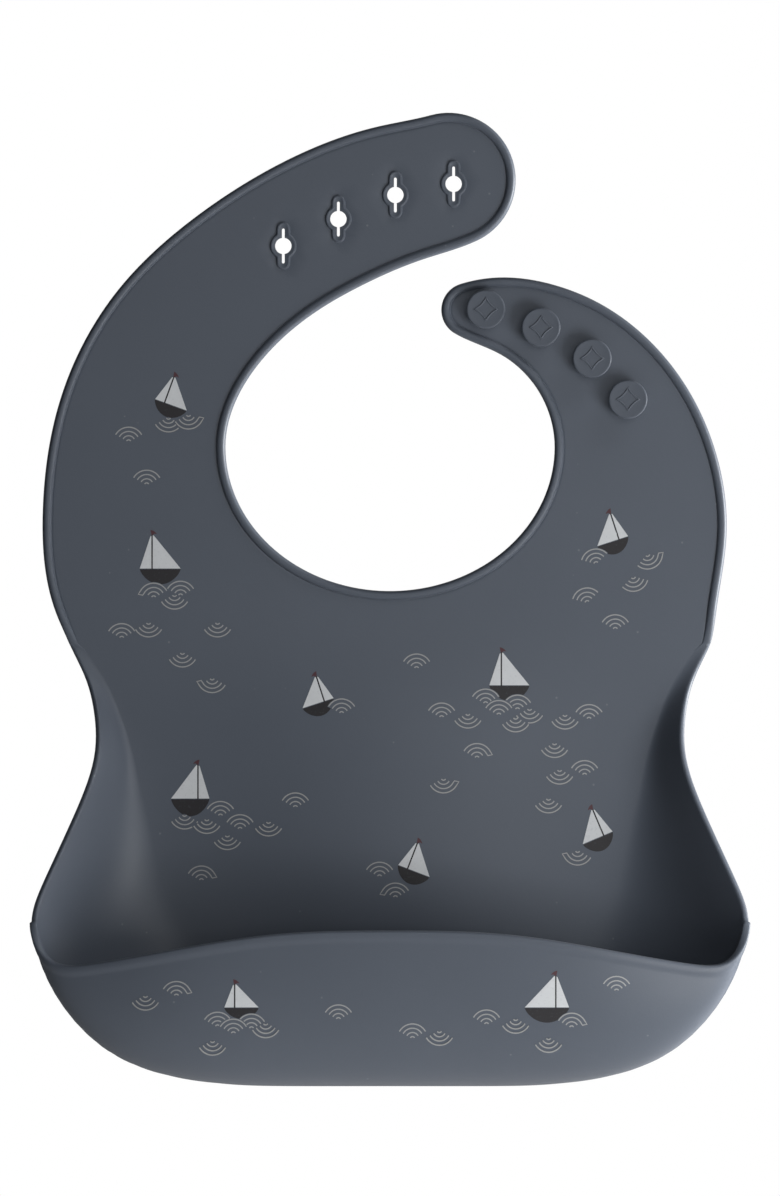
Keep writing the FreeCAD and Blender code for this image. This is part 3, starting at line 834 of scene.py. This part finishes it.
def moulding_mesh(sizes):
    """The whole moulding as one closed mesh, in metres."""
    verts, faces = whole_moulding(sizes.wall / MM, sizes.bead_width / MM,
                                  sizes.bead_rise / MM, sizes.collar_rise / MM,
                                  sizes.web_spacing / MM, sizes.chest_swell / MM)
    mesh = bmesh.new()
    corners = [mesh.verts.new(Vector(v) * MM) for v in verts]
    for face in faces:
        mesh.faces.new([corners[v] for v in face])
    bmesh.ops.recalc_face_normals(mesh, faces=mesh.faces)
    if any(not edge.is_manifold for edge in mesh.edges):
        raise RuntimeError("the moulding has an open edge")
    if mesh.calc_volume(signed=True) < 0:
        bmesh.ops.reverse_faces(mesh, faces=mesh.faces)
    return mesh


def copied_faces(faces):
    """A mesh with copies of some faces of another, which keep their inks."""
    made = bmesh.new()
    known = {}
    for face in faces:
        corners = []
        for v in face.verts:
            if v not in known:
                known[v] = made.verts.new(v.co)
            corners.append(known[v])
        copy = made.faces.new(corners)
        copy.material_index = face.material_index
    return made


def piece_from_faces(name, faces):
    """A new object from some faces of a mesh, its cut ends closed."""
    made = copied_faces(faces)
    for face in made.faces:
        face.smooth = True
    open_edges = [edge for edge in made.edges if edge.is_boundary]
    if open_edges:
        caps = bmesh.ops.holes_fill(made, edges=open_edges, sides=0)["faces"]
        caps = bmesh.ops.triangulate(made, faces=caps)["faces"]
        for cap in caps:
            cap.smooth = False
        for edge in open_edges:
            edge.smooth = False
    if any(not edge.is_manifold for edge in made.edges):
        raise RuntimeError(f"{name} has an open edge")
    return object_from(name, made)


def object_from(name, mesh):
    """Puts a mesh in the scene as an object."""
    data = bpy.data.meshes.new(name)
    mesh.to_mesh(data)
    mesh.free()
    made = bpy.data.objects.new(name, data)
    bpy.context.scene.collection.objects.link(made)
    return made


def apply_stack(item):
    """Makes an object's modifiers part of its mesh."""
    graph = bpy.context.evaluated_depsgraph_get()
    data = bpy.data.meshes.new_from_object(item.evaluated_get(graph))
    item.modifiers.clear()
    item.data = data


def bend_with(item, stretch):
    """Works out where a stretch's bend would start and end, which nothing uses, and bakes the
    piece's placement into its mesh.
    """
    if stretch == "bib":
        start, end = (0, POCKET_BEND[0] * MM, 0), (0, POCKET_BEND[1] * MM, 0)
        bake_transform(item)
        return
    near, far, angle, before, after = STRAP_BENDS[stretch]
    _, _, tip = cut_line(angle, 0.0, stretch.startswith("hole"))
    start, end = ((FOLD_APEX[0] + tip[0] * reach, FOLD_APEX[1] + tip[1] * reach)
                  for reach in (before, after))
    start[0] * MM
    start[1] * MM
    end[0] * MM
    end[1] * MM
    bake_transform(item)


def finish_named(name, make, *values):
    """A material by name, made once."""
    return bpy.data.materials.get(name) or make(name, *values)


def build_stretches(context, wanted):
    """Builds some stretches of the silicone moulding as separate pieces."""
    sizes, colours = context.scene.bib_sizes, context.scene.bib_colours
    mesh = moulding_mesh(sizes)
    groups = cut_stretches(mesh, MM)
    silicone = finish_named("slate_silicone", silicone_finish, tuple(colours.silicone))
    for stretch in wanted:
        item = piece_from_faces(PIECE_NAMES[stretch], groups[stretch])
        item.data.materials.append(silicone)
        bend_with(item, stretch)
        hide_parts(*STOOD_FOR[stretch])
    mesh.free()


# ------------------------------------------------------------------------ the print

class Artwork:
    """Printed shapes laid on the moulding, one ink a material number."""

    INKS = ("sail_ink", "hull_ink", "wave_ink", "pennant_ink")

    def __init__(self, moulding, eye, rise):
        self.surface = BVHTree.FromBMesh(moulding)
        self.eye = Vector(eye)
        self.rise = rise
        self.mesh = bmesh.new()

    def place(self, x, z):
        """A vertex just above the surface seen at a place in the panel."""
        direction = (Vector((x * MM, 0, z * MM)) - self.eye).normalized()
        spot, normal, _, _ = self.surface.ray_cast(self.eye, direction)
        if spot is None:
            raise RuntimeError(f"the print misses the bib at {x:.1f}, {z:.1f}")
        return self.mesh.verts.new(spot + normal * self.rise)

    def strip(self, left, right, ink):
        """A ribbon between two lines of places; None leaves a gap."""
        before = None
        for a, b in zip(left, right):
            if a is None:
                before = None
                continue
            now = (self.place(*a), self.place(*b))
            if before:
                face = self.mesh.faces.new((before[0], before[1], now[1], now[0]))
                face.material_index = self.INKS.index(ink)
            before = now

    def patch(self, outline, ink, spacing, covers=()):
        """A filled shape, less the parts that other shapes cover."""
        loops = [np.array(outline)] + [np.array(c) for c in covers]
        coords, edges = [], []
        for loop in loops:
            first = len(coords)
            coords += [Vector(p) for p in loop]
            edges += [(first + k, first + (k + 1) % len(loop))
                      for k in range(len(loop))]
        low, high = loops[0].min(0), loops[0].max(0)
        grid = np.array([(x, z) for x in np.arange(low[0], high[0], spacing)
                         for z in np.arange(low[1], high[1], spacing)])
        coords += [Vector(p) for p in grid[inside(grid, loops[0])]]
        places, _, triangles, _, _, _ = delaunay_2d_cdt(coords, edges, [], 0, 1e-4)
        centres = np.array([np.mean([places[v] for v in t], axis=0) for t in triangles])
        keep = inside(centres, loops[0])
        for loop in loops[1:]:
            keep &= ~inside(centres, loop)
        corners = {}
        for triangle, wanted in zip(triangles, keep):
            if not wanted:
                continue
            for v in triangle:
                if v not in corners:
                    corners[v] = self.place(*places[v])
            face = self.mesh.faces.new([corners[v] for v in triangle])
            face.material_index = self.INKS.index(ink)


def turned(points, x, z, degrees):
    """Points turned about their origin and moved to a place."""
    c, s = heading(degrees)
    return [(x + u * c - v * s, z + u * s + v * c) for u, v in points]


def along_edges(corners, spacing):
    """Points along straight edges between corners."""
    made = []
    for (ax, az), (bx, bz) in zip(corners, corners[1:] + corners[:1]):
        count = max(1, math.ceil(math.hypot(bx - ax, bz - az) / spacing))
        made += [(ax + (bx - ax) * k / count, az + (bz - az) * k / count)
                 for k in range(count)]
    return made


WAVE_TIP = ((0.75, 1.15), (0.5, 0.75))    # how far a closed tip reaches out and down
WAVE_NEIGHBOUR = 9.5                      # waves further apart than this never overlap
INK_DEPTH = 2.4                           # the ink's thickness, as a share of its rise


def wave_frame(wave):
    """A wave's circle middle, its upward sign and its turn."""
    x, z, kind, turn = wave
    sign = 1 if kind[0] == "U" else -1
    (cx, cz), = turned([(0, -WAVE_CENTRE_DROP * sign)], x, z, turn)
    return cx, cz, sign, turn


def wave_cover(wave, margin=0.35):
    """The half-disc that a wave hides behind it."""
    cx, cz, sign, turn = wave_frame(wave)
    radius = WAVE_RADII[0] + margin
    points = [(0.0, 0.0)]
    for a in np.radians(np.linspace(-WAVE_HALF_ANGLE - 3, WAVE_HALF_ANGLE + 3, 25)):
        points.append((radius * math.sin(a), sign * radius * math.cos(a)))
    return turned(points, cx, cz, turn)


def draw_wave(art, wave, covers, width):
    """Four arcs one inside another; a closed tip joins the two outer ones."""
    cx, cz, sign, turn = wave_frame(wave)
    tip = wave[2][1:]
    half = width / 2
    limit = math.radians(WAVE_HALF_ANGLE)
    lines = []
    for radius in WAVE_RADII:
        count = max(6, math.ceil(2 * limit * radius / 0.5))
        lines.append([(radius * math.sin(a), sign * radius * math.cos(a))
                      for a in np.linspace(-limit, limit, count + 1)])
    if tip:
        end = -1 if tip == "R" else 0
        side = 1 if tip == "R" else -1
        outer, second = lines[0][end], lines[1][end]
        point, near = [(start[0] + side * out, start[1] - sign * down)
                       for start, (out, down) in zip((outer, second), WAVE_TIP)]
        lines.append([outer, point, near, second])
    for line in lines:
        flat = np.array(line)
        slope = np.gradient(flat, axis=0)
        slope /= np.linalg.norm(slope, axis=1)[:, None]
        side = np.column_stack([-slope[:, 1], slope[:, 0]]) * half
        if sign < 0:
            side = -side
        left = turned([tuple(p) for p in flat + side], cx, cz, turn)
        right = turned([tuple(p) for p in flat - side], cx, cz, turn)
        middle = np.array(turned([tuple(p) for p in flat], cx, cz, turn))
        hidden = np.zeros(len(middle), bool)
        for cover in covers:
            hidden |= inside(middle, np.array(cover))
        left = [None if h else p for p, h in zip(left, hidden)]
        art.strip(left, right, "wave_ink")


SAIL_GAP, SAIL_FOOT = 0.23, 0.22          # half the mast's width, and the sails' foot
SHORT_SAIL = 0.3                          # the small sail's share of the width
HULL_FULLNESS = 1.45
PENNANT = ((-0.15, -0.1), (0.2, -0.15), (0.75, 0.35), (1.55, 0.2),
           (1.1, 0.75), (0.35, 1.3), (-0.5, 1.55), (-0.35, 0.6))


def draw_boat(art, boat, covers):
    """Two sails with the mast between them, a hull and a pennant."""
    x, z, width, height, depth, lean, side = boat
    gap, foot = SAIL_GAP, SAIL_FOOT
    short, wide = -SHORT_SAIL * width * side, (1 - SHORT_SAIL) * width * side
    small = [(short, foot), (-gap * side, foot), (-gap * side, height * 0.97),
             (-(gap + 0.3) * side, height * 0.95)]
    large = [(gap * side, foot), (wide, foot), ((gap + 0.28) * side, height * 0.98),
             (gap * side, height * 0.98)]
    mast = [(-gap, 0.0), (gap, 0.0), (gap * 0.8, height), (-gap * 0.8, height)]
    middle, reach = (short + wide) / 2, width / 2
    hull = [(middle + reach * math.cos(a), -depth * abs(math.sin(a)) ** HULL_FULLNESS)
            for a in np.radians(np.linspace(180, 360, 24))]
    hull += [(middle + reach * (1 - k / 6), 0.0) for k in range(1, 12)]
    pennant = [(out * side, height + up) for out, up in PENNANT]
    near = [c for c in covers
            if min(math.hypot(px - x, pz - z) for px, pz in c) < width + depth]
    for points, ink, spacing, hides in (
            (along_edges(small, 1.4), "sail_ink", 1.7, []),
            (along_edges(large, 1.4), "sail_ink", 1.7, []),
            (along_edges(mast, 1.5), "hull_ink", 5.0, []),
            (hull, "hull_ink", 1.7, near),
            (pennant, "pennant_ink", 5.0, [])):
        art.patch(turned(points, x, z, lean), ink, spacing, hides)


# ---------------------------------------------------------------------- the operators

class BIB_OT_panel_and_pocket(bpy.types.Operator):
    """Mould the chest panel with the catching pocket"""

    bl_idname = "bib.panel_and_pocket"
    bl_label = "Panel and pocket"

    def execute(self, context):
        build_stretches(context, ["bib"])
        return {"FINISHED"}


class BIB_OT_hole_strap(bpy.types.Operator):
    """Mould the strap with the four keyholes"""

    bl_idname = "bib.hole_strap"
    bl_label = "Keyhole strap"

    def execute(self, context):
        build_stretches(context, LEFT_STRETCHES[1:])
        return {"FINISHED"}


class BIB_OT_button_strap(bpy.types.Operator):
    """Mould the strap that carries the buttons"""

    bl_idname = "bib.button_strap"
    bl_label = "Button strap"

    def execute(self, context):
        build_stretches(context, RIGHT_STRETCHES[1:])
        return {"FINISHED"}


class BIB_OT_neck_buttons(bpy.types.Operator):
    """Turn the four mushroom buttons and raise their four-pointed outline"""

    bl_idname = "bib.neck_buttons"
    bl_label = "Neck buttons"

    def execute(self, context):
        colours, sizes = context.scene.bib_colours, context.scene.bib_sizes
        silicone = finish_named("button_silicone", silicone_finish,
                                shade(tuple(colours.silicone), 0.92))
        for number in range(1, 5):
            low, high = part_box(f"neck_button_{number}")
            item = turn_button(f"button_{number}", (low + high) / 2,
                               -sizes.wall, low.y)
            item.data.materials.clear()
            item.data.materials.append(silicone)
            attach(item, "button_end")
            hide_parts(f"neck_button_{number}")
        return {"FINISHED"}


BUTTON_STEPS = 56
EMBLEM_RISE = 0.3


def turn_button(name, middle, base, front):
    """One mushroom button with a raised outline on its head."""
    height = (base - front) / MM - EMBLEM_RISE
    profile = [(0, height - 0.08), (3.0, height - 0.08), (5.0, height - 0.06),
               (5.45, height - 0.01), (5.7, height), (5.88, height - 0.05),
               (6.02, height - 0.17), (6.1, height - 0.36), (6.12, height - 0.7),
               (6.12, height - 1.4), (6.06, height - 1.85), (5.9, height - 2.08),
               (5.6, height - 2.18), (4.2, height - 2.2), (3.0, height - 2.25),
               (2.62, height - 2.5), (2.5, height - 2.95), (2.5, 0.8), (2.65, 0.35),
               (3.0, 0.05), (2.2, -0.6), (0, -0.6)]
    data = bpy.data.meshes.new(name)
    data.from_pydata([(r * MM, 0, h * MM) for r, h in profile],
                     [(k, k + 1) for k in range(len(profile) - 1)], [])
    item = bpy.data.objects.new(name, data)
    bpy.context.scene.collection.objects.link(item)
    screw = item.modifiers.new("turn", "SCREW")
    screw.steps = screw.render_steps = BUTTON_STEPS
    screw.use_merge_vertices = True
    screw.merge_threshold = 1e-6
    screw.use_smooth_shade = True
    apply_stack(item)
    ridge = raised_outline(height - 0.08)
    place = (Matrix.Translation((middle.x, base, middle.z))
             @ Matrix.Rotation(math.radians(90), 4, "X"))
    both = bmesh.new()
    both.from_mesh(item.data)
    both.from_mesh(ridge)
    bmesh.ops.recalc_face_normals(both, faces=both.faces)
    both.transform(place)
    for face in both.faces:
        face.smooth = True
    both.to_mesh(item.data)
    both.free()
    bpy.data.meshes.remove(ridge)
    return item


RIDGE_RADIUS = 0.27


def raised_outline(height, reach=3.6, waist=2.1, steps=14):
    """A half-round ridge along the concave sides of a four-pointed figure."""
    tips = [Vector((reach, 0)), Vector((0, reach)), Vector((-reach, 0)),
            Vector((0, -reach))]
    line = []
    for start, end in zip(tips, tips[1:] + tips[:1]):
        bend = (start + end).normalized() * (2 * waist) - (start + end) / 2
        for k in range(steps):
            u = k / steps
            line.append(start * (1 - u) ** 2 + bend * 2 * u * (1 - u) + end * u * u)
    curve = bpy.data.curves.new("ridge", "CURVE")
    curve.dimensions = "3D"
    curve.bevel_depth = RIDGE_RADIUS * MM
    curve.bevel_resolution = 3
    spline = curve.splines.new("POLY")
    spline.points.add(len(line) - 1)
    for point, spot in zip(spline.points, line):
        point.co = (spot.x * MM, spot.y * MM, height * MM, 1)
    spline.use_cyclic_u = True
    helper = bpy.data.objects.new("ridge", curve)
    bpy.context.scene.collection.objects.link(helper)
    graph = bpy.context.evaluated_depsgraph_get()
    mesh = bpy.data.meshes.new_from_object(helper.evaluated_get(graph))
    bpy.data.objects.remove(helper)
    bpy.data.curves.remove(curve)
    return mesh


class BIB_OT_print(bpy.types.Operator):
    """Print the sailing boats and waves on the silicone"""

    bl_idname = "bib.print"
    bl_label = "Print"

    def execute(self, context):
        sizes, colours = context.scene.bib_sizes, context.scene.bib_colours
        stage = context.scene.bib_stage
        moulding = moulding_mesh(sizes)
        art = Artwork(moulding, (0, -stage.distance, stage.view_level), sizes.ink_rise)
        moulding.free()
        covers = [wave_cover(wave) for wave in WAVES]
        for boat in BOATS:
            draw_boat(art, boat, covers)
        for k, wave in enumerate(WAVES):
            near = [covers[j] for j in range(k + 1, len(WAVES))
                    if math.hypot(WAVES[j][0] - wave[0], WAVES[j][1] - wave[1]) < WAVE_NEIGHBOUR]
            draw_wave(art, wave, near, sizes.line_width / MM)
        inks = [finish_named(name, ink_finish, tuple(getattr(colours, name[:-4])))
                for name in Artwork.INKS]
        for stretch, faces in cut_stretches(art.mesh, MM).items():
            item = object_from("print_on_" + stretch, copied_faces(faces))
            for ink in inks:
                item.data.materials.append(ink)
            thicken = item.modifiers.new("ink", "SOLIDIFY")
            thicken.thickness = sizes.ink_rise * INK_DEPTH
            thicken.offset = -1
            apply_stack(item)
            bend_with(item, stretch)
        art.mesh.free()
        return {"FINISHED"}


# Each softbox: its place in metres, its size and the setting that holds its power.
LIGHTS = {
    "key": ((1.182, 0.208, -0.05), 0.5, "key_power"),
    "near": ((0.45, -0.45, -0.25), 0.3, "near_power"),
    "front": ((0.306, -1.142, 0.158), 0.7, "fill_power"),
    "top": ((0.668, -0.386, 0.869), 0.5, "top_power"),
}
SENSOR = 36.0
VIEW_NEAR, VIEW_FAR = 0.1, 20.0
FLOOR_RADIUS = 1.6


class BIB_OT_stage(bpy.types.Operator):
    """Set the floor, the lights, the world and the camera"""

    bl_idname = "bib.stage"
    bl_label = "Stage"

    def execute(self, context):
        stage = context.scene.bib_stage
        low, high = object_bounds()
        middle = (low + high) / 2
        make_floor(low.z - stage.floor_drop)
        for name, (place, size, power) in LIGHTS.items():
            make_light(name, place, middle, size, getattr(stage, power))
        make_world(stage.world_strength)
        camera = bpy.data.cameras.new("camera")
        camera.sensor_fit = "VERTICAL"
        camera.sensor_height = SENSOR
        camera.lens = SENSOR * stage.distance / stage.view_height
        camera.clip_start, camera.clip_end = VIEW_NEAR, VIEW_FAR
        item = bpy.data.objects.new("camera", camera)
        item.location = (0, -stage.distance, stage.view_level)
        item.rotation_euler = (math.radians(90), 0, 0)
        context.scene.collection.objects.link(item)
        context.scene.camera = item
        context.scene.view_settings.view_transform = "Standard"
        return {"FINISHED"}


def make_floor(level):
    """A pale floor with a faint mottle."""
    mesh = bmesh.new()
    bmesh.ops.create_circle(mesh, cap_ends=True, segments=96, radius=FLOOR_RADIUS)
    mesh.transform(Matrix.Translation((0, 0, level)))
    floor = object_from("floor", mesh)
    paint = Finish("pale_floor")
    cloud = paint.noise(5.0, 3.0)
    paint.colour(paint.mix(cloud, (0.86, 0.86, 0.86), (0.9, 0.9, 0.9)))
    paint.roughness(0.75 + 0.1 * cloud)
    floor.data.materials.append(paint.material)
    floor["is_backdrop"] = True


def make_light(name, place, target, size, power):
    """A square softbox turned towards the bib."""
    light = bpy.data.lights.new(name, "AREA")
    light.shape = "SQUARE"
    light.size = size
    light.energy = power
    item = bpy.data.objects.new(name, light)
    item.location = place
    item.rotation_euler = (target - Vector(place)).to_track_quat("-Z", "Y").to_euler()
    bpy.context.scene.collection.objects.link(item)


def make_world(strength):
    """A white room behind the bib that lights it only softly."""
    world = bpy.data.worlds.new("white_room")
    world.use_nodes = True
    tree = world.node_tree
    tree.nodes.clear()
    seen = tree.nodes.new("ShaderNodeBackground")
    seen.inputs["Strength"].default_value = 1.0
    seen.inputs["Color"].default_value = (1, 1, 1, 1)
    room = tree.nodes.new("ShaderNodeBackground")
    room.inputs["Strength"].default_value = strength
    room.inputs["Color"].default_value = (0.93, 0.97, 1.0, 1)
    path = tree.nodes.new("ShaderNodeLightPath")
    choose = tree.nodes.new("ShaderNodeMixShader")
    out = tree.nodes.new("ShaderNodeOutputWorld")
    tree.links.new(path.outputs["Is Camera Ray"], choose.inputs[0])
    tree.links.new(room.outputs[0], choose.inputs[1])
    tree.links.new(seen.outputs[0], choose.inputs[2])
    tree.links.new(choose.outputs[0], out.inputs[0])
    bpy.context.scene.world = world


# -------------------------------------------------------------------------- the panel

OPERATORS = (BIB_OT_panel_and_pocket, BIB_OT_hole_strap, BIB_OT_button_strap,
             BIB_OT_neck_buttons, BIB_OT_print, BIB_OT_stage)


class BIB_PT_panel(bpy.types.Panel):
    """The bib's pieces and sizes in the sidebar"""

    bl_idname = "BIB_PT_panel"
    bl_label = "Silicone bib"
    bl_space_type = "VIEW_3D"
    bl_region_type = "UI"
    bl_category = "Bib"

    def draw(self, context):
        layout = self.layout
        for group in (context.scene.bib_sizes, context.scene.bib_colours,
                      context.scene.bib_stage):
            box = layout.box()
            for name in group.__annotations__:
                box.prop(group, name)
        for operator in OPERATORS:
            layout.operator(operator.bl_idname)


CLASSES = (BibSizes, BibColours, BibStage, *OPERATORS, BIB_PT_panel)


def register():
    for item in CLASSES:
        bpy.utils.register_class(item)
    bpy.types.Scene.bib_sizes = bpy.props.PointerProperty(type=BibSizes)
    bpy.types.Scene.bib_colours = bpy.props.PointerProperty(type=BibColours)
    bpy.types.Scene.bib_stage = bpy.props.PointerProperty(type=BibStage)


def unregister():
    del bpy.types.Scene.bib_stage
    del bpy.types.Scene.bib_colours
    del bpy.types.Scene.bib_sizes
    for item in reversed(CLASSES):
        bpy.utils.unregister_class(item)


def main():
    """Builds every piece in order and sets the stage."""
    register()
    bpy.ops.bib.panel_and_pocket()
    bpy.ops.bib.hole_strap()
    bpy.ops.bib.button_strap()
    bpy.ops.bib.neck_buttons()
    bpy.ops.bib.print()
    bpy.ops.bib.stage()


if __name__ == "__main__":
    main()
